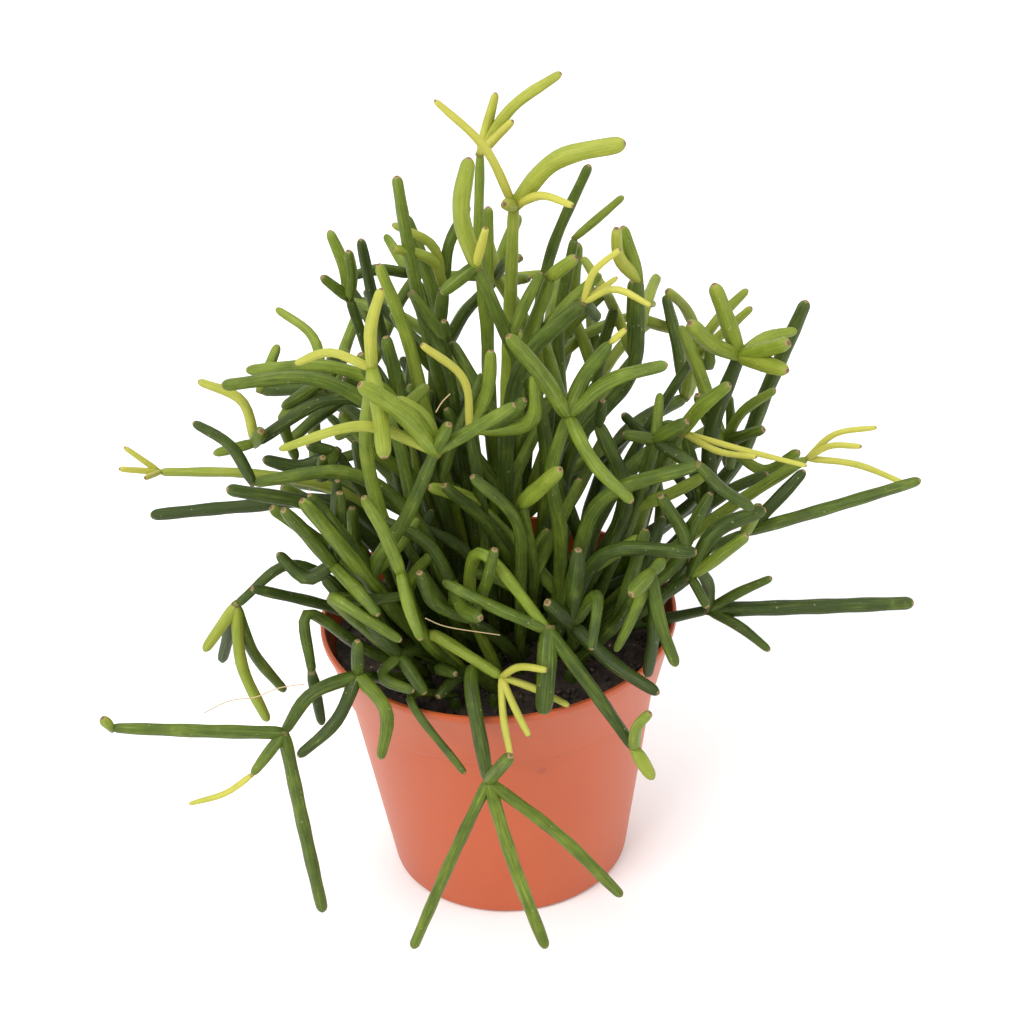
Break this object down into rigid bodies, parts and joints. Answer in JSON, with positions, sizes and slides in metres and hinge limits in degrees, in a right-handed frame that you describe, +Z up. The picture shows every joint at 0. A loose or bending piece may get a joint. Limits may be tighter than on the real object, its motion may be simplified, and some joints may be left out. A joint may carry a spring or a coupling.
{
  "type": "potted mistletoe cactus",
  "caption": "Mistletoe cactus: clumps of jointed cylindrical green stems, branching in whorls, in a round plastic nursery pot of soil.",
  "frame": {"origin": "centre of the pot's flat foot, on its underside", "axes": "+Z up along the pot's axis, -Y towards the front of the picture, +X to its right"},
  "size_m": [0.2294, 0.1722, 0.249],
  "materials": {
    "pot_plastic": "terracotta-coloured moulded plastic with a soft sheen",
    "peat": "dark loose peat, matt",
    "green_stem": "fleshy green skin with a waxy sheen, yellow on the fresh shoots"
  },
  "bodies": {
    "root": {"pot": "pot_plastic", "soil": "peat", "stems_back_01": "green_stem", "stems_back_03": "green_stem", "stems_back_04": "green_stem", "stems_back_05": "green_stem", "stems_back_06": "green_stem", "stems_back_07": "green_stem", "stems_back_08": "green_stem", "stems_back_09": "green_stem", "stems_back_11": "green_stem", "stems_back_12": "green_stem", "stems_back_13": "green_stem", "stems_back_14": "green_stem", "stems_back_15": "green_stem", "stems_crown_back": "green_stem", "stems_crown_club": "green_stem", "stems_crown_hook": "green_stem", "stems_crown_left": "green_stem", "stems_crown_main": "green_stem", "stems_crown_ribbed": "green_stem", "stems_crown_shield": "green_stem", "stems_crown_slim": "green_stem", "stems_crown_tall_a": "green_stem", "stems_crown_tall_b": "green_stem", "stems_crown_twig": "green_stem", "stems_front_arch": "green_stem", "stems_front_fan": "green_stem", "stems_front_paddle": "green_stem", "stems_front_right": "green_stem", "stems_front_thread": "green_stem", "stems_heart_diagonal": "green_stem", "stems_heart_hook": "green_stem", "stems_heart_node": "green_stem", "stems_heart_warty": "green_stem", "stems_left_blade_b": "green_stem", "stems_left_candle": "green_stem", "stems_left_curl": "green_stem", "stems_left_drop": "green_stem", "stems_left_ladder": "green_stem", "stems_left_rail_a": "green_stem", "stems_left_rail_b": "green_stem", "stems_left_rail_d": "green_stem", "stems_left_rail_e": "green_stem", "stems_left_steep_a": "green_stem", "stems_left_steep_b": "green_stem", "stems_right_candle": "green_stem", "stems_right_cross": "green_stem", "stems_right_grass": "green_stem", "stems_right_hem": "green_stem", "stems_right_low": "green_stem", "stems_right_pillar": "green_stem", "stems_right_shelf": "green_stem", "stems_right_spire": "green_stem", "stems_right_stub": "green_stem", "stems_right_tuft": "green_stem"}
  },
  "joints": []
}
